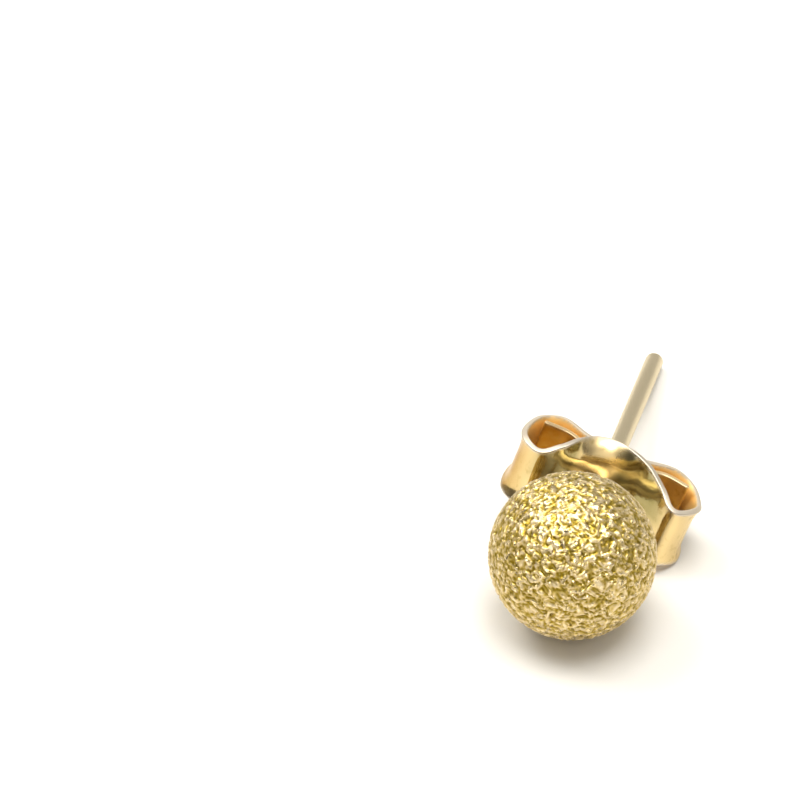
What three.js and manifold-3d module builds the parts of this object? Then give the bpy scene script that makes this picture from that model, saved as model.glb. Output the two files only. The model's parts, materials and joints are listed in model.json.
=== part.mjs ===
// One stud earring lying on a flat surface, in millimetres, +Z up. A gold ball is soldered to a
// straight post, and a butterfly clutch grips the post behind the ball. The earring lies as it does
// when it is put down by itself: on the ball, on the end of the post and on one wing of the clutch.

import * as THREE from 'three';
import { mergeVertices } from 'three/addons/utils/BufferGeometryUtils.js';
import Module from 'manifold-3d';

const wasm = await Module();
wasm.setup();

// Driving dimensions. The post runs along +Y from the centre of the ball.

const BALL_RADIUS = 2.5;
const BALL_CUTS = 7;              // cuts along each edge of the twenty triangles it starts from

const POST_RADIUS = 0.29;
const POST_REACH = 12.5;          // from the ball's centre to the post's end
const POST_SIDES = 32;
const POST_END_ROUND = 0.1;
const SOLDER_FILLET = 0.2;
const SOLDER_SUNK = 0.01;         // how far the fillet's foot is below the ball's skin
const ROUNDING_STEPS = 4;

const SHEET = 0.18;               // thickness of the clutch's strip
const HOLE_RADIUS = POST_RADIUS + 0.08;  // a running fit on the post
const HOLE_SIDES = 32;
const DIMPLE_RADIUS = 1.0;        // the pressed funnel round the hole
const DIMPLE_DEPTH = 0.2;
const GRIP = POST_RADIUS + 0.04 + SHEET / 2;  // the scrolls' noses, just clear of the post
const STATIONS = 96;              // along the strip
const ROWS = 14;                  // across the strip

// One arm of the clutch, from the hole to the strip's end. The two arms were not rolled quite alike,
// so right and left each give the distance out from the post's axis and the distance along the post
// from the ball's centre. width is the strip's own width, flare how far its two edges stand out.

const ARM = [
  { place: 'hole',       right: [0, 4.07],     left: [0, 4.07],     width: 3.48, flare: 0 },
  { place: 'shoulder',   right: [0.98, 3.87],  left: [0.9, 3.83],   width: 3.2,  flare: 0 },
  { place: 'slope',      right: [1.71, 3.43],  left: [1.59, 3.35],  width: 2.58, flare: 0.02 },
  { place: 'front dip',  right: [2.27, 3.01],  left: [2.16, 3.07],  width: 2.08, flare: 0.1 },
  { place: 'front bend', right: [2.76, 3.52],  left: [2.59, 3.45],  width: 2.07, flare: 0.14 },
  { place: 'outer bend', right: [2.75, 4.12],  left: [2.66, 4.2],   width: 1.84, flare: 0.15 },
  { place: 'rear bend',  right: [2.41, 4.84],  left: [2.37, 5.0],   width: 1.84, flare: 0.16 },
  { place: 'rear',       right: [1.92, 5.0],   left: [1.87, 5.14],  width: 2.13, flare: 0.11 },
  { place: 'rear slope', right: [1.04, 4.81],  left: [1.06, 4.84],  width: 2.16, flare: 0.04 },
  { place: 'grip',       right: [GRIP, 4.54],  left: [GRIP, 4.61],  width: 2.2,  flare: 0 },
  { place: 'turned in',  right: [0.78, 4.36],  left: [0.75, 4.39],  width: 2.15, flare: 0 },
  { place: 'inner leaf', right: [1.48, 4.67],  left: [1.44, 4.64],  width: 2.1,  flare: 0 },
  { place: 'end',        right: [2.22, 4.63],  left: [2.22, 4.71],  width: 2.0,  flare: 0 },
];

// Geometry in, solid out, and back again.

function solidOf(geometry) {
  const bare = geometry.clone();
  bare.deleteAttribute('normal');
  bare.deleteAttribute('uv');
  const merged = mergeVertices(bare, 1e-5);
  return new wasm.Manifold(new wasm.Mesh({
    numProp: 3,
    vertProperties: Float32Array.from(merged.attributes.position.array),
    triVerts: Uint32Array.from(merged.index.array),
  }));
}

function geometryOf(solid) {
  const mesh = solid.getMesh();
  const geometry = new THREE.BufferGeometry();
  geometry.setAttribute('position', new THREE.BufferAttribute(mesh.vertProperties, 3));
  geometry.setIndex(new THREE.BufferAttribute(mesh.triVerts, 1));
  return geometry;
}

// The centre line of the whole strip, from one end to the other, with the width as its third value.

function stripRows() {
  const wing = (row, [out, along], side) => ({ ...row, across: side * out, along });
  const left = ARM.slice(1).reverse().map((row) => wing(row, row.left, -1));
  const right = ARM.map((row) => wing(row, row.right, 1));
  return [...left, ...right];
}

// A point of the strip's surface: the centre line, moved out by the flare towards the edges and in
// by the dimple round the hole. Half the sheet's thickness is added on one side or the other.

function stripSurface() {
  const rows = stripRows();
  const line = new THREE.CatmullRomCurve3(
    rows.map((row) => new THREE.Vector3(row.across, row.along, row.width)), false, 'centripetal');
  const flares = new THREE.CatmullRomCurve3(
    rows.map((row) => new THREE.Vector3(row.flare, 0, 0)), false, 'catmullrom');
  const length = line.getLength();

  return (u, v, side) => {
    const t = line.getUtoTmapping(u);
    const centre = line.getPoint(t);
    const tangent = line.getTangent(t);
    const outward = new THREE.Vector2(tangent.y, -tangent.x).normalize();
    const height = v * centre.z / 2;
    const fromHole = Math.hypot((u - 0.5) * length, height) / DIMPLE_RADIUS;
    const dimple = fromHole < 1 ? DIMPLE_DEPTH * (1 + Math.cos(Math.PI * fromHole)) / 2 : 0;
    const offset = flares.getPoint(t).x * v * v - dimple + side * SHEET / 2;
    return new THREE.Vector3(
      centre.x + outward.x * offset, centre.y + outward.y * offset, height);
  };
}

// The strip as one closed skin: its front face, its rear face and its four edges.

function stripGeometry() {
  const surface = stripSurface();
  const positions = [];
  for (const side of [1, -1]) {
    for (let i = 0; i <= STATIONS; i++) {
      for (let j = 0; j <= ROWS; j++) {
        positions.push(...surface(i / STATIONS, 2 * j / ROWS - 1, side).toArray());
      }
    }
  }
  const front = (i, j) => i * (ROWS + 1) + j;
  const rear = (i, j) => front(i, j) + (STATIONS + 1) * (ROWS + 1);
  const index = [];
  const quad = (a, b, c, d) => index.push(a, b, c, a, c, d);
  for (let i = 0; i < STATIONS; i++) {
    for (let j = 0; j < ROWS; j++) {
      quad(front(i, j), front(i + 1, j), front(i + 1, j + 1), front(i, j + 1));
      quad(rear(i, j), rear(i, j + 1), rear(i + 1, j + 1), rear(i + 1, j));
    }
    quad(front(i, 0), rear(i, 0), rear(i + 1, 0), front(i + 1, 0));
    quad(front(i, ROWS), front(i + 1, ROWS), rear(i + 1, ROWS), rear(i, ROWS));
  }
  for (let j = 0; j < ROWS; j++) {
    quad(front(0, j), front(0, j + 1), rear(0, j + 1), rear(0, j));
    quad(front(STATIONS, j), rear(STATIONS, j), rear(STATIONS, j + 1), front(STATIONS, j + 1));
  }
  const geometry = new THREE.BufferGeometry();
  geometry.setAttribute('position', new THREE.Float32BufferAttribute(positions, 3));
  geometry.setIndex(index);
  return geometry;
}

// The clutch: the strip, pierced for the post between its two scrolls.

function clutchGeometry() {
  const punch = new THREE.CylinderGeometry(HOLE_RADIUS, HOLE_RADIUS, 1, HOLE_SIDES);
  punch.translate(0, ARM[0].right[1], 0);
  return geometryOf(solidOf(stripGeometry()).subtract(solidOf(punch)));
}

// The angle whose sine times a and cosine times b add up to c: how far a point at a along and b
// below an axis turns down before it is c below it.

function angleToReach(a, b, c) {
  return Math.asin(c / Math.hypot(a, b)) - Math.atan2(b, a);
}

// Tilt: the post's end comes down to the level of the ball's lowest point.

const tilt = angleToReach(
  POST_REACH - POST_END_ROUND, POST_RADIUS - POST_END_ROUND, BALL_RADIUS - POST_END_ROUND);

// The turn of the whole earring as it lies: rolled about its post, then tipped by the tilt.

function lyingTurn(roll) {
  return new THREE.Quaternion().setFromEuler(new THREE.Euler(-tilt, roll, 0));
}

// Roll: the earring turns about its post until the first point of the clutch meets that level.

function rollUntilTouching(geometry) {
  const p = geometry.attributes.position;
  let roll = Math.PI / 2;
  for (let i = 0; i < p.count; i++) {
    const drop = (BALL_RADIUS - p.getY(i) * Math.sin(tilt)) / Math.cos(tilt);
    if (p.getX(i) > 0 && Math.hypot(p.getX(i), p.getZ(i)) > drop) {
      roll = Math.min(roll, angleToReach(p.getX(i), -p.getZ(i), drop));
    }
  }
  return roll;
}

// The ball, made of small triangles. The middle of an edge of one of the first twenty, which is on
// its Y axis, is turned to point straight down once the earring lies.

function ballGeometry(roll) {
  const down = new THREE.Vector3(0, 0, -1).applyQuaternion(lyingTurn(roll).invert());
  return new THREE.IcosahedronGeometry(BALL_RADIUS, BALL_CUTS)
    .applyQuaternion(new THREE.Quaternion().setFromUnitVectors(new THREE.Vector3(0, 1, 0), down));
}

// The post as one turned profile: the solder's fillet, which starts just inside the ball, and the
// post with its rounded end. It is joined to the ball as one solid.

function ballPostGeometry(roll) {
  const filletFoot = POST_RADIUS + SOLDER_FILLET;
  const foot = Math.sqrt(BALL_RADIUS ** 2 - filletFoot ** 2) - SOLDER_SUNK;
  const root = foot - SOLDER_FILLET;
  const profile = [new THREE.Vector2(0, root), new THREE.Vector2(filletFoot, root)];
  for (let step = 0; step <= ROUNDING_STEPS; step++) {
    const a = (Math.PI / 2) * step / ROUNDING_STEPS;
    profile.push(new THREE.Vector2(
      filletFoot - SOLDER_FILLET * Math.sin(a), foot + SOLDER_FILLET * (1 - Math.cos(a))));
  }
  for (let step = 0; step <= ROUNDING_STEPS; step++) {
    const a = (Math.PI / 2) * step / ROUNDING_STEPS;
    profile.push(new THREE.Vector2(
      POST_RADIUS - POST_END_ROUND * (1 - Math.cos(a)),
      POST_REACH - POST_END_ROUND * (1 - Math.sin(a))));
  }
  profile.push(new THREE.Vector2(0, POST_REACH));
  const post = new THREE.LatheGeometry(profile, POST_SIDES, Math.PI - roll);
  return geometryOf(solidOf(ballGeometry(roll)).add(solidOf(post)));
}

// Both pieces on one axis, turned to the way they lie.

const clutchShape = clutchGeometry();
const roll = rollUntilTouching(clutchShape);

const ballPost = new THREE.Mesh(
  ballPostGeometry(roll),
  new THREE.MeshStandardMaterial({ color: 0xd8bf82, roughness: 0.42, metalness: 1 }));
ballPost.name = 'ball_post';

const clutch = new THREE.Mesh(
  clutchShape,
  new THREE.MeshStandardMaterial({ color: 0xe8b85c, roughness: 0.16, metalness: 1 }));
clutch.name = 'butterfly_clutch';

const lying = new THREE.Group();
lying.add(ballPost, clutch);
lying.quaternion.copy(lyingTurn(roll));

// The origin is under the middle of the earring, on the surface it lies on.

const earring = new THREE.Group();
earring.add(lying);
earring.updateMatrixWorld(true);
const extent = new THREE.Box3().setFromObject(earring, true);
const middle = extent.getCenter(new THREE.Vector3());
earring.position.set(-middle.x, -middle.y, -extent.min.z);

export default earring;
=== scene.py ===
import json

import bmesh
import bpy
import numpy as np
from mathutils import Matrix


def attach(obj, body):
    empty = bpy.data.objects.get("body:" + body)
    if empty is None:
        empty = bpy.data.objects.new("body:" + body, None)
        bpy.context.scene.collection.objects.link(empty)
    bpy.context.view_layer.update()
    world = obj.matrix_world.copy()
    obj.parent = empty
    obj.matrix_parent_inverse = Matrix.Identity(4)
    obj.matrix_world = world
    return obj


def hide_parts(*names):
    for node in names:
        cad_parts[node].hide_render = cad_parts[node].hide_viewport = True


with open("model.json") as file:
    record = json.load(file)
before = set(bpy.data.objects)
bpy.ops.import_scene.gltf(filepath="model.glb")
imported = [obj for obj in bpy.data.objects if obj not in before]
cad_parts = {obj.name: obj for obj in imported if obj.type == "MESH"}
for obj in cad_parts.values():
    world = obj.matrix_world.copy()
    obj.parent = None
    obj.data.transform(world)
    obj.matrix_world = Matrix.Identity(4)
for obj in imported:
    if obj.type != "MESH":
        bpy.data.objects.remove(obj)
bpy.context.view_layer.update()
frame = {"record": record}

# The ball and its post. The ball is solid gold-plated brass with a glittering, roughened skin, and
# the straight post is drawn wire, soldered to the ball's back with a small fillet. Both are one
# piece of metal, which lies on the ball and on the rounded end of the post.

MM = 0.001
BALL_RADIUS = 2.5 * MM
SKIN_RADIUS = 2.497 * MM           # the tips of the roughened skin, just inside the solid ball
BALL_SIDES = 400
BALL_RINGS = 224
POST_RADIUS = 0.29 * MM
POST_REACH = 12.5 * MM             # from the ball's centre to the solid post's end
POST_TIP = POST_REACH - 0.002 * MM
POST_END_ROUND = 0.1 * MM
POST_LENGTHS = 7                   # rows of faces along the plain post
SOLDER_FILLET = 0.2 * MM
ROLL = np.radians(16.647)          # how far the earring has turned about its post

GRAIN = 0.26 * MM                  # from one fleck of the skin to the next
FINE_GRAIN = 0.42 * GRAIN
GRAIN_CURL = 2.2 * GRAIN           # the size of the bends in the rows of flecks
GRAIN_DEPTH = 0.06 * MM
GRAIN_STRETCH = [0.8, 1, 1.1]      # across, along the post and up
GRAIN_WAVES = 72
CURL_WAVES = 24
SMOOTH_BY_SOLDER = 0.12            # the grain fades out over this angle of the ball, in radians

FACETS = 6800.0                    # to the metre, in two sizes
SMALL_FACETS = 15000.0
FACET_LEAN = 0.5                   # a facet leans by this share of its random vector
# The colours darken into the pits as painted shade; the tips keep the metal's own colour.
SKIN_AND_PIT_SHADE = [                   # from the tips of the grain to the bottoms of its pits
    (0.0, (0.88, 0.73, 0.46, 1)), (0.4, (0.69, 0.53, 0.23, 1)),
    (0.7, (0.46, 0.335, 0.075, 1)), (1.0, (0.28, 0.195, 0.014, 1))]
POST_COLOUR = (0.67, 0.57, 0.37, 1)
POST_ROUGHNESS = 0.36
BRIGHT_SKIN = 0.13                 # how much smoother than the post the bright flecks are
MATT_PATCHES = 0.24                # what matt patches and pits add to the skin's roughness
MATT_PITS = 0.12

post_end = np.array(frame["record"]["mounts"][0]["pos_m"])
post_way = np.array(frame["record"]["mounts"][0]["axis"])
ball_centre = post_end - POST_REACH * post_way


def laid_down(points):
    """Points given as across, along the post and up, from the ball's centre, turned by ROLL about
    the post, then tipped so that +Y becomes the post's own direction, and moved to the ball."""
    cosine, sine = np.cos(ROLL), np.sin(ROLL)
    turn = np.array([[cosine, 0, sine], [0, 1, 0], [-sine, 0, cosine]])
    tip = np.array([[1, 0, 0], [0, post_way[1], -post_way[2]], [0, post_way[2], post_way[1]]])
    return points @ (tip @ turn).T + ball_centre


def waves(points, size, count, seed):
    """A smooth random field with bumps about size apart: the sum of count sine waves of random
    direction and phase and of wavelengths near size, scaled to a spread of one."""
    dice = np.random.default_rng(seed)
    way = dice.normal(size=(count, 3))
    way /= np.linalg.norm(way, axis=1)[:, None]
    rate = 2 * np.pi / size * dice.uniform(0.7, 1.4, count)
    phase = dice.uniform(0, 2 * np.pi, count)
    return np.sin(points @ (way * rate[:, None]).T + phase).sum(axis=1) * np.sqrt(2 / count)


def grain(points):
    """How deep the ball's skin is below its tips, from 0 to 1. The points are bent by three slow
    fields, so that the flecks curl, and stretched. A field of flecks is then squeezed by tanh into
    flat tops and pits with steep sides, and a finer field roughens both."""
    bend = np.stack([waves(points, GRAIN_CURL, CURL_WAVES, seed) for seed in (11, 12, 13)], axis=1)
    bent = (points + 0.16 * GRAIN * bend) * GRAIN_STRETCH
    coarse = np.tanh(1.7 * waves(bent, GRAIN, GRAIN_WAVES, 3))
    fine = waves(bent, FINE_GRAIN, GRAIN_WAVES, 5)
    return np.clip(0.5 - 0.31 * coarse - 0.2 * fine, 0, 1)


def quarter(steps):
    """The angles of a quarter turn in equal steps."""
    return np.linspace(0, np.pi / 2, steps + 1)


def fade(values, start, end):
    """How far the values are on the way from start to end, held between 0 and 1."""
    return np.clip((values - start) / (end - start), 0, 1)


def mesh_of(name, rings, marks, squares_left_out=None, more_faces=()):
    """A closed mesh over a grid of points: each row of the array is a ring that meets itself, and
    each ring joins the next. Points that fall together, as at the poles, are merged. The marks are
    named numbers, one for each point, for the material. A hole leaves out some of the grid's
    squares and brings more faces for its wall, as the numbers of their corners."""
    rows, columns = rings.shape[:2]
    corner = np.arange(rows * columns).reshape(rows, columns)
    after = np.roll(corner, -1, axis=1)
    squares = np.stack([corner[:-1], after[:-1], after[1:], corner[1:]], axis=-1)
    if squares_left_out is not None:
        squares = squares[~squares_left_out]
    faces = np.vstack([squares.reshape(-1, 4), *more_faces])
    mesh = bpy.data.meshes.new(name)
    mesh.from_pydata(rings.reshape(-1, 3).tolist(), [], faces.tolist())
    for mark, values in marks.items():
        mesh.attributes.new(mark, "FLOAT", "POINT").data.foreach_set("value", values.ravel())
    whole = bmesh.new()
    whole.from_mesh(mesh)
    bmesh.ops.remove_doubles(whole, verts=whole.verts, dist=1e-8)
    bmesh.ops.recalc_face_normals(whole, faces=whole.faces)
    whole.to_mesh(mesh)
    whole.free()
    mesh.shade_smooth()
    piece = bpy.data.objects.new(name, mesh)
    bpy.context.scene.collection.objects.link(piece)
    return piece


# The profile runs over the ball from its front to the solder, through the hollow fillet, along the
# post and round the edge of its end. It is turned once about the post.
foot = POST_RADIUS + SOLDER_FILLET
solder = np.pi - np.arcsin(foot / SKIN_RADIUS)
ball_angles = np.linspace(0, solder, BALL_RINGS)
fillet, rounding = quarter(5), quarter(5)
straight = np.linspace(0, 1, POST_LENGTHS + 1)[1:-1]
fillet_end = -SKIN_RADIUS * np.cos(solder) + SOLDER_FILLET
rounding_start = POST_TIP - POST_END_ROUND
profile_radius = np.concatenate([
    SKIN_RADIUS * np.sin(ball_angles),
    foot - SOLDER_FILLET * np.sin(fillet),
    POST_RADIUS + 0 * straight,
    POST_RADIUS - POST_END_ROUND * (1 - np.cos(rounding)),
    [0]])
profile_along = np.concatenate([
    -SKIN_RADIUS * np.cos(ball_angles),
    fillet_end - SOLDER_FILLET * np.cos(fillet),
    fillet_end + (rounding_start - fillet_end) * straight,
    rounding_start + POST_END_ROUND * np.sin(rounding),
    [POST_TIP]])
round_post = np.linspace(0, 2 * np.pi, BALL_SIDES, endpoint=False)
turned = np.stack([
    profile_radius[:, None] * np.sin(round_post),
    profile_along[:, None] + 0 * round_post,
    profile_radius[:, None] * np.cos(round_post)], axis=-1)

depth = grain(turned[:BALL_RINGS].reshape(-1, 3)).reshape(BALL_RINGS, BALL_SIDES)
depth[0] = depth[0].mean()
grained = fade(ball_angles, solder, solder - SMOOTH_BY_SOLDER)[:, None]
depth = depth * grained
turned[:BALL_RINGS] *= 1 - (GRAIN_DEPTH / SKIN_RADIUS) * depth[..., None]
post_rows = np.zeros((len(turned) - BALL_RINGS, BALL_SIDES))
stud = mesh_of("ball_and_post", laid_down(turned), {
    "pit_depth": np.vstack([depth, post_rows]),
    "rough_skin": np.vstack([np.tile(grained, BALL_SIDES), post_rows])})


class Wire:
    """One output in a material's nodes. Sums, differences and products of wires and numbers are
    Math nodes, and node() adds any other node."""

    def __init__(self, tree, socket=None):
        self.tree, self.socket = tree, socket

    def node(self, kind, settings=None, sockets=None, out=0):
        """Adds a node. Its settings come first, with a ramp's stops as (position, colour) pairs,
        and then its sockets, each given a wire or a value."""
        node = self.tree.nodes.new("ShaderNode" + kind)
        for key, value in (settings or {}).items():
            if key == "stops":
                ends = node.color_ramp.elements
                ends[0].position, ends[0].color = value[0]
                ends[1].position, ends[1].color = value[-1]
                for position, colour in value[1:-1]:
                    ends.new(position).color = colour
            else:
                setattr(node, key, value)
        for key, value in (sockets or {}).items():
            if isinstance(value, Wire):
                self.tree.links.new(value.socket, node.inputs[key])
            else:
                node.inputs[key].default_value = value
        return Wire(self.tree, node.outputs[out])

    def math(self, operation, a, b):
        """A Math node on two wires or numbers."""
        return self.node("Math", {"operation": operation}, {0: a, 1: b})

    def __add__(self, other):
        return self.math("ADD", self, other)

    def __sub__(self, other):
        return self.math("SUBTRACT", self, other)

    def __rsub__(self, other):
        return self.math("SUBTRACT", other, self)

    def __mul__(self, other):
        return self.math("MULTIPLY", self, other)

    __radd__ = __add__
    __rmul__ = __mul__


def finish_called(name):
    """A new material with its plain shader, and the wire that its nodes start from."""
    material = bpy.data.materials.new(name)
    material.use_nodes = True
    return material, Wire(material.node_tree), material.node_tree.nodes["Principled BSDF"]


def join(wire, shader, socket):
    """Plugs a wire into one of the shader's sockets."""
    wire.tree.links.new(wire.socket, shader.inputs[socket])


def marked(start, mark):
    """The wire of one of the mesh's marks."""
    return start.node("Attribute", {"attribute_name": mark}, out="Fac")


def vectors(operation, a, b):
    """A Vector Math node on two wires or vectors, the first a wire."""
    return a.node("VectorMath", {"operation": operation}, {0: a, 1: b})


def facets(place, per_metre):
    """Random cells, so many to the metre, each with a random vector from (0, 0, 0) to (1, 1, 1)."""
    return place.node("TexVoronoi", None, {"Vector": place, "Scale": per_metre}, out="Color")


def clouds(place, per_metre, detail, roughness=0.5):
    """Soft random clouds, so many to the metre, from 0 to 1 and mostly near 0.5."""
    sockets = {"Vector": place, "Scale": per_metre, "Detail": detail, "Roughness": roughness}
    return place.node("TexNoise", None, sockets, out="Fac")


def stepped(wire, none, full):
    """0 where the wire is none, 1 where it is full, even between the two and held beyond them."""
    stops = sorted([(none, (0, 0, 0, 1)), (full, (1, 1, 1, 1))])
    return wire.node("ValToRGB", {"stops": stops}, {"Fac": wire})


def between(share, first, second):
    """The first colour where the share is 0, the second where it is 1, and a mix between."""
    sockets = {"Factor": share, "A": first, "B": second}
    return share.node("Mix", {"data_type": "RGBA"}, sockets, out=2)


# The skin's facets lean at random, by about 15 degrees on the whole. They glitter, because each
# mirrors another part of the room.
sparkle_gold, start, metal = finish_called("sparkle_gold")
place = start.node("TexCoord", out="Object")
pit = marked(start, "pit_depth")
rough = marked(start, "rough_skin")
random_way = vectors("ADD", facets(place, FACETS), facets(place, SMALL_FACETS))
centred = vectors("SUBTRACT", random_way, (1.0, 1.0, 1.0))
swing = start.node("VectorMath", {"operation": "SCALE"}, {0: centred, "Scale": rough * FACET_LEAN})
leaning = vectors("ADD", start.node("NewGeometry", out="Normal"), swing)
glitter = start.node("VectorMath", {"operation": "NORMALIZE"}, {0: leaning})
# Painted shade: the skin's colour darkens with the pits' depth.
skin_and_pit_shade = start.node("ValToRGB", {"stops": SKIN_AND_PIT_SHADE}, {"Fac": pit})
matt = stepped(clouds(place, 5200.0, 2.0), 0.42, 0.56)
metal.inputs["Metallic"].default_value = 1.0
join(between(rough, POST_COLOUR, skin_and_pit_shade), metal, "Base Color")
skin_roughness = matt * MATT_PATCHES - BRIGHT_SKIN + pit * MATT_PITS
join(POST_ROUGHNESS + rough * skin_roughness, metal, "Roughness")
join(glitter, metal, "Normal")

stud.data.materials.append(sparkle_gold)
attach(stud, "stud")
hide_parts("ball_post")

# The butterfly clutch: one strip of thin gold-plated sheet. It is pierced in the middle, with a
# pressed funnel round the hole, and both ends are rolled into scrolls whose rims flare outwards.
# The scrolls' noses grip the post like two springs, with the strip's ends tucked inside.

SHEET = 0.18 * MM
SOFT_EDGE = 0.04 * MM              # the cut edges' rounding, with a flat between two roundings
HOLE_RADIUS = POST_RADIUS + 0.08 * MM
FUNNEL_RADIUS = 1.0 * MM
FUNNEL_DEPTH = 0.2 * MM
NOSE_GAP = 0.04 * MM               # drawn between the post and each nose

LEAN = 0.5 * MM                    # how far the plate's top leans back over the scrolls
LEAN_FROM = 0.85 * MM              # the height where it begins
LEAN_AT = -0.42 * MM               # its middle, a little left of the hole
LEAN_WIDTH = 0.78 * MM             # to each side, it has fallen to about a third at this distance
LEAN_BEND = 1.7                    # powers: how it grows with height, and fades to both sides
LEAN_FADE = 2.6
LEAN_DROP = 0.6                    # how far the leaning top comes down, as a share of the lean

# In millimetres, from the hole to the strip's end: how far each arm is out from the post's axis and
# how far along the post from the ball's centre, the strip's width, and how far its edges stand out.
GRIP = (POST_RADIUS + NOSE_GAP + SHEET / 2) / MM
ARM = np.array([
    # right arm    left arm     width  flare
    (0.00, 4.07,   0.00, 4.07,  3.48,  0.00),   # hole
    (0.98, 3.87,   0.90, 3.83,  3.20,  0.00),   # shoulder
    (1.71, 3.43,   1.59, 3.35,  2.58,  0.02),   # slope
    (2.27, 3.01,   2.16, 3.07,  2.08,  0.10),   # front dip
    (2.76, 3.52,   2.59, 3.45,  2.07,  0.14),   # front bend
    (2.75, 4.12,   2.66, 4.20,  1.84,  0.15),   # outer bend
    (2.41, 4.84,   2.37, 5.00,  1.84,  0.16),   # rear bend
    (1.92, 5.00,   1.87, 5.14,  2.13,  0.11),   # rear
    (1.04, 4.81,   1.06, 4.84,  2.16,  0.04),   # rear slope
    (GRIP, 4.54,   GRIP, 4.61,  2.20,  0.00),   # grip
    (0.78, 4.36,   0.75, 4.39,  2.02,  0.00),   # turned in
    (1.60, 4.70,   1.55, 4.72,  2.00,  0.00),   # inner leaf
    (2.42, 4.45,   2.36, 4.58,  2.15,  0.00),   # end
])
LINE_STEPS = 6000
LEAF_FROM = 0.76                   # where the inner leaves begin, as a share of each arm


def through(knots, t, power):
    """A Catmull-Rom curve through the rows of knots, at t from 0 to 1. Each span is a cubic whose
    end slopes come from its neighbours, spaced by their distance to the given power (0 is even)."""
    spans = len(knots) - 1
    span = np.minimum((t * spans).astype(int), spans - 1)
    w = (t * spans - span)[:, None]
    more = np.vstack([2 * knots[0] - knots[1], knots, 2 * knots[-1] - knots[-2]])
    a, b, c, d = (more[span + k] for k in range(4))
    gap = [np.linalg.norm(q - p, axis=1)[:, None] ** power for p, q in ((a, b), (b, c), (c, d))]
    gap = [np.maximum(g, 1e-9) if power else np.ones_like(g) for g in gap]
    leave = ((b - a) / gap[0] - (c - a) / (gap[0] + gap[1]) + (c - b) / gap[1]) * gap[1]
    enter = ((c - b) / gap[1] - (d - b) / (gap[1] + gap[2]) + (d - c) / gap[2]) * gap[1]
    square, cube = 3 * (c - b) - 2 * leave - enter, 2 * (b - c) + leave + enter
    return b + leave * w + square * w ** 2 + cube * w ** 3


left_arm = ARM[:0:-1, 2:] * [-1, 1, 1, 1]
right_arm = ARM[:, [0, 1, 4, 5]]
strip_rows = np.vstack([left_arm, right_arm])
dense = np.linspace(0, 1, LINE_STEPS + 1)
line = through(strip_rows[:, :3], dense, 0.5) * MM
line_flare = through(strip_rows[:, 3:], dense, 0)[:, 0] * MM
steps_along = np.linalg.norm(np.diff(line[:, :2], axis=0), axis=1)
length_to = np.concatenate([[0], np.cumsum(steps_along)])
reach_from_hole = length_to - np.interp(0.5, dense, length_to)
strip_start, strip_end = reach_from_hole[0], reach_from_hole[-1]


def along_strip(s, values):
    """One of the strip's measures at length s from the hole, straight between the line's points."""
    return np.interp(s, reach_from_hole, values)


def sheet_middle(s, height):
    """A point of the middle of the sheet, at length s along the strip from the hole and height
    across it. The centre line is moved outwards by the flare, which grows as the height's fourth
    power. It is moved inwards by the funnel, which is half a cosine wave about the hole, and by the
    lean, which grows as a power of the height above LEAN_FROM, fades to both sides as a bell curve
    and brings the top down a little."""
    x, y, width, flare = (along_strip(s, values) for values in (*line.T, line_flare))
    step = 0.002 * MM
    inside = np.clip(s, strip_start + step, strip_end - step)
    dx, dy = (along_strip(inside + step, values) - along_strip(inside - step, values)
              for values in line.T[:2])
    size = np.hypot(dx, dy)
    from_hole = np.minimum(np.hypot(s, height) / FUNNEL_RADIUS, 1)
    funnel = FUNNEL_DEPTH * (1 + np.cos(np.pi * from_hole)) / 2
    rise = np.clip((height - LEAN_FROM) / (width / 2 - LEAN_FROM), 0, 1.2)
    bell = np.exp(-np.abs((s - LEAN_AT) / LEAN_WIDTH) ** LEAN_FADE)
    lean = LEAN * rise ** LEAN_BEND * bell
    offset = flare * (2 * height / width) ** 4 - funnel - lean
    return np.stack([
        x + dy / size * offset, y - dx / size * offset, height - LEAN_DROP * lean], axis=-1)


def sheet_skin(s, height, past_edge, out):
    """The sheet's skin: its middle, moved by past_edge on from the strip's edge and by out along
    the sheet's own normal, both found from the slopes of the middle."""
    step = 0.01 * MM
    s_slope = sheet_middle(s + step, height) - sheet_middle(s - step, height)
    height_slope = sheet_middle(s, height + step) - sheet_middle(s, height - step)
    height_slope /= np.linalg.norm(height_slope, axis=-1, keepdims=True)
    normal = np.cross(s_slope, height_slope)
    normal /= np.linalg.norm(normal, axis=-1, keepdims=True)
    return sheet_middle(s, height) + height_slope * past_edge[..., None] + normal * out[..., None]


# A grid over the whole skin. Its rows follow the strip, and each row goes once round the strip's
# section: the outer face, one rounded edge, the inner face and the other edge. The rows draw
# together past both ends of the strip, and near the hole the squares are pushed into rings.
HOLE_CELLS = 6
FACE_CELLS = 44
ARM_CELLS = 190
EDGE_STEPS = 5
RINGS_REACH = 0.9 * MM             # the grid is square again this far from the hole's centre
CRISP_FROM = np.radians(50)        # a sharper fold, as round the hole, shades as an edge
PLATE_HALF = ARM[0, 4] * MM / 2 - SOFT_EDGE


def outward_cells(first, last, count, growth):
    """Grid lines from first to last, spaced as this power of an even count: 1 is even."""
    return first + (last - first) * np.linspace(0, 1, count + 1) ** growth


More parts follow.
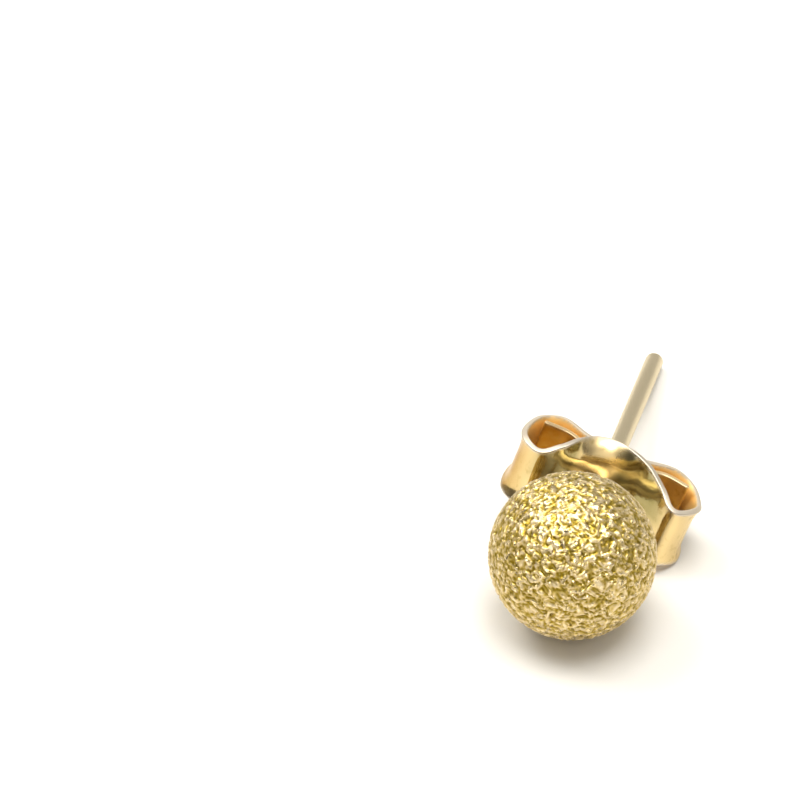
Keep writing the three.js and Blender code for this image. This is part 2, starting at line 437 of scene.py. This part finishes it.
side_cells = (FACE_CELLS - HOLE_CELLS) // 2
hole_span = HOLE_RADIUS * np.linspace(-1, 1, HOLE_CELLS + 1)
upper = outward_cells(HOLE_RADIUS, PLATE_HALF, side_cells, 1.15)[1:] / PLATE_HALF
face_across = np.concatenate([-upper[::-1], hole_span / PLATE_HALF, upper])
right_rows = outward_cells(HOLE_RADIUS, strip_end - SHEET / 2, ARM_CELLS, 1.0)[1:]
left_rows = outward_cells(HOLE_RADIUS, -strip_start - SHEET / 2, ARM_CELLS, 1.0)[1:]
face_rows = np.concatenate([-left_rows[::-1], hole_span, right_rows])
end_turn = quarter(EDGE_STEPS)[1:]
all_rows = np.concatenate([
    face_rows[0] - SHEET / 2 * np.sin(end_turn[::-1]), face_rows,
    face_rows[-1] + SHEET / 2 * np.sin(end_turn)])
thin = np.concatenate([np.cos(end_turn[::-1]), np.ones_like(face_rows), np.cos(end_turn)])

edge_turn = quarter(EDGE_STEPS)
flat_half = SHEET / 2 - SOFT_EDGE
edge_out = np.concatenate([
    flat_half + SOFT_EDGE * np.cos(edge_turn), -flat_half - SOFT_EDGE * np.sin(edge_turn)])
edge_past = np.concatenate([SOFT_EDGE * np.sin(edge_turn), SOFT_EDGE * np.cos(edge_turn)])
upper_edge = np.ones_like(edge_out)
outer_face = np.full_like(face_across, SHEET / 2)
section_across = np.concatenate([face_across, upper_edge, face_across[::-1], -upper_edge])
section_out = np.concatenate([outer_face, edge_out, -outer_face, edge_out[::-1]])
section_past = np.concatenate([0 * face_across, edge_past, 0 * face_across, -edge_past[::-1]])

along, across = np.meshgrid(all_rows, section_across, indexing="ij")
plate_height = across * PLATE_HALF
square = np.maximum(np.abs(along), np.abs(plate_height))
ring = np.maximum(np.hypot(along, plate_height), 1e-12)
blend = fade(square, HOLE_RADIUS, RINGS_REACH)
pull = np.where(square < RINGS_REACH, (1 - blend) * square / ring + blend, 1)
heights = across * pull * (along_strip(along, line[:, 2]) / 2 - SOFT_EDGE)
skin_out = section_out[None] * thin[:, None]
skin_past = section_past[None] * thin[:, None]
strip_skin = sheet_skin(along * pull, heights, skin_past, skin_out)

# The hole leaves out its squares of both faces, and its wall joins the two loops of points round
# them.
rows, columns = along.shape
first_row = len(end_turn) + len(left_rows)
first_front = side_cells
first_back = len(face_across) + len(edge_out) + side_cells
hole_squares = np.zeros((rows - 1, columns), bool)
for first_cell in (first_front, first_back):
    hole_squares[first_row:first_row + HOLE_CELLS, first_cell:first_cell + HOLE_CELLS] = True
walk = np.arange(HOLE_CELLS)
walk_back, near_side, far_side = HOLE_CELLS - walk, 0 * walk, 0 * walk + HOLE_CELLS
loop_row = first_row + np.concatenate([near_side, walk, far_side, walk_back])
loop_cell = np.concatenate([walk, far_side, walk_back, near_side])
front = loop_row * columns + first_front + loop_cell
back = loop_row * columns + first_back + HOLE_CELLS - loop_cell
hole_wall = np.stack([front, np.roll(front, -1), np.roll(back, -1), back], axis=-1)

# The marks: raw metal on the cut edges, half as strong just beside them and weaker on the inner
# leaves; the inner face; worn places on the wings and the leaning top; a painted reflection of the
# ball's dark grain on the plate's shoulders; and painted shade, in a warm gold, on the left wing.
on_outer_face = skin_out > 0
beside_hole = np.abs(along)
cut_edge = fade(np.abs(across), 0.9, 1) * np.where(np.abs(across) == 1, 1, 0.5)
cut_edge *= np.where(beside_hole > LEAF_FROM * strip_end, 0.4, 1)
inner_face = fade(skin_out, SHEET / 2, -SHEET / 2)
leaning_top = np.exp(-((along - LEAN_AT) / LEAN_WIDTH) ** 4)
leaning_top *= fade(heights, LEAN_FROM, LEAN_FROM + 0.2 * MM)
satin = np.maximum(fade(beside_hole, 2.7 * MM, 3.4 * MM), leaning_top)
# Painted reflection of the ball's dark grain on the plate's shoulders.
shoulder = fade(np.abs(along - LEAN_AT), 0.55 * MM, 0.85 * MM) * on_outer_face
shoulder *= fade(beside_hole, 2.6 * MM, 2.1 * MM) * fade(heights, -0.2 * MM, 0.3 * MM)
# Painted shade, in a warm gold, on the left wing.
warm = fade(-along, 2.4 * MM, 3.1 * MM) * on_outer_face
marks = {
    "cut_edge": cut_edge, "inner_face": inner_face, "satin": satin, "shoulder": shoulder,
    "warm": warm}
clutch = mesh_of("butterfly_clutch_skin", laid_down(strip_skin), marks, hole_squares, [hole_wall])
clutch.data.set_sharp_from_angle(angle=CRISP_FROM)

# Polished sheet with faint dents and dark specks. Each wire below is named as its mark is. Clouds
# break up the left wing's painted shade and the painted reflection on the shoulders.
PLATED = (0.82, 0.63, 0.31, 1)
# Painted shade for the left wing.
PAINTED_WING_SHADE = (0.45, 0.25, 0.05, 1)
DARK_SPECK = (0.48, 0.34, 0.09, 1)
# Painted reflection of the ball's dark grain, for the shoulders.
PAINTED_REFLECTION = (0.22, 0.20, 0.07, 1)
INNER_GOLD = (1.0, 0.73, 0.30, 1)
CUT_METAL = (0.64, 0.57, 0.46, 1)
POLISH = 0.04                      # the sheet's least roughness; the rest are added to it
CLOUDED = 0.14
CUT = 0.3
INSIDE = 0.22
WORN = 0.2
DENT = 0.03 * MM

polished_gold, start, metal = finish_called("polished_gold")
place = start.node("TexCoord", out="Object")
cut_edge, inner_face, satin, shoulder, warm = (marked(start, mark) for mark in marks)
cloud = clouds(place, 900.0, 4.0, 0.6)
speck = stepped(clouds(place, 4200.0, 3.0), 0.43, 0.31)
# Painted shade on the left wing, broken up by clouds.
tone = between(warm * (cloud * 1.4 + 0.2), PLATED, PAINTED_WING_SHADE)
tone = between(speck * 0.4, tone, DARK_SPECK)
# Painted reflection on the shoulders, broken up by clouds.
tone = between(shoulder * (1.0 - cloud * 0.6), tone, PAINTED_REFLECTION)
tone = between(inner_face, tone, INNER_GOLD)
tone = between(cut_edge, tone, CUT_METAL)
dents = clouds(place, 1900.0, 3.0)
uneven = start.node("Bump", None, {"Height": dents, "Strength": 0.35, "Distance": DENT})
roughness = cloud * CLOUDED + POLISH + cut_edge * CUT + inner_face * INSIDE + satin * WORN
metal.inputs["Metallic"].default_value = 1.0
join(tone, metal, "Base Color")
join(roughness, metal, "Roughness")
join(uneven, metal, "Normal")

clutch.data.materials.append(polished_gold)
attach(clutch, "clutch")
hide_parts("butterfly_clutch")

# The surface that the earring lies on: plain, matt and nearly white.

FLOOR_HALF = 0.4
floor_corners = [
    (-FLOOR_HALF, -FLOOR_HALF, 0), (FLOOR_HALF, -FLOOR_HALF, 0),
    (FLOOR_HALF, FLOOR_HALF, 0), (-FLOOR_HALF, FLOOR_HALF, 0)]
floor_mesh = bpy.data.meshes.new("floor")
floor_mesh.from_pydata(floor_corners, [], [(0, 1, 2, 3)])
floor = bpy.data.objects.new("floor", floor_mesh)
bpy.context.scene.collection.objects.link(floor)
pale, start, surface = finish_called("pale_floor")
surface.inputs["Base Color"].default_value = (0.80, 0.785, 0.745, 1)
surface.inputs["Roughness"].default_value = 0.7
surface.inputs["Specular IOR Level"].default_value = 0.25
floor.data.materials.append(pale)

# Light: a soft box high on the left, a stronger one overhead and a weak one in front, all slightly
# warm, in a plain room that is paler above and behind the earring.

LAMP_COLOUR = (1.0, 0.98, 0.95)
ROOM_PALER_TOWARDS = (0.0, 0.5, 0.45)
ROOM_COLOURS = [                   # from low in front to high behind
    (0.0, (0.14, 0.135, 0.13, 1)), (0.42, (0.18, 0.175, 0.17, 1)),
    (0.75, (0.48, 0.47, 0.46, 1)), (1.0, (0.62, 0.61, 0.60, 1))]


def matrix_of(right, up, back, at):
    """A placement matrix with these three axes as its columns and this origin."""
    table = np.eye(4)
    table[:3, 0], table[:3, 1], table[:3, 2], table[:3, 3] = right, up, back, at
    return Matrix(table.tolist())


def soft_box(name, at, size, power):
    """A square area light at a point, facing the middle of the scene."""
    light = bpy.data.lights.new(name, "AREA")
    light.shape, light.size, light.energy, light.color = "SQUARE", size, power, LAMP_COLOUR
    away = np.array(at) / np.linalg.norm(at)
    side = np.cross((0.0, 0.0, 1.0), away)
    side /= np.linalg.norm(side)
    lamp = bpy.data.objects.new(name, light)
    lamp.matrix_world = matrix_of(side, np.cross(away, side), away, at)
    bpy.context.scene.collection.objects.link(lamp)


soft_box("key", (-0.12, 0.03, 0.16), 0.11, 0.24)
soft_box("top", (0.02, -0.01, 0.2), 0.13, 0.36)
soft_box("front", (0.06, -0.16, 0.11), 0.17, 0.08)
world = bpy.data.worlds.new("room")
bpy.context.scene.world = world
world.use_nodes = True
towards = Wire(world.node_tree).node("TexCoord", out="Generated")
dot_product = {"operation": "DOT_PRODUCT"}
paleness = towards.node("VectorMath", dot_product, {0: towards, 1: ROOM_PALER_TOWARDS}, out="Value")
room = towards.node("ValToRGB", {"stops": ROOM_COLOURS}, {"Fac": paleness + 0.5})
backdrop = world.node_tree.nodes["Background"]
join(room, backdrop, "Color")
backdrop.inputs["Strength"].default_value = 1.0

# The camera looks down on the earring from the ball's side, through a long lens, from where the
# picture was taken.

IMAGE = 800
LENS = 4000                        # focal length in pixels of the image
BALL_SEEN_AT = np.array([572.5, 555.5])
BALL_SEEN_RADIUS = 85
AZIMUTH, ELEVATION = np.radians(14.57), np.radians(39.55)
level = np.cos(ELEVATION)
back = np.array([np.sin(AZIMUTH) * level, -np.cos(AZIMUTH) * level, np.sin(ELEVATION)])
right = np.array([np.cos(AZIMUTH), np.sin(AZIMUTH), 0])
up = np.cross(back, right)
distance = LENS * BALL_RADIUS / BALL_SEEN_RADIUS
aside, above = (BALL_SEEN_AT - IMAGE / 2) * [1, -1] / LENS * distance
camera_at = ball_centre + back * distance - right * aside - up * above
camera = bpy.data.cameras.new("camera")
camera.sensor_width = 36
camera.lens = LENS * camera.sensor_width / IMAGE
camera.clip_start, camera.clip_end = 0.005, 5
view = bpy.data.objects.new("camera", camera)
view.matrix_world = matrix_of(right, up, back, camera_at)
bpy.context.scene.collection.objects.link(view)
bpy.context.scene.camera = view
bpy.context.scene.view_settings.view_transform = "Standard"
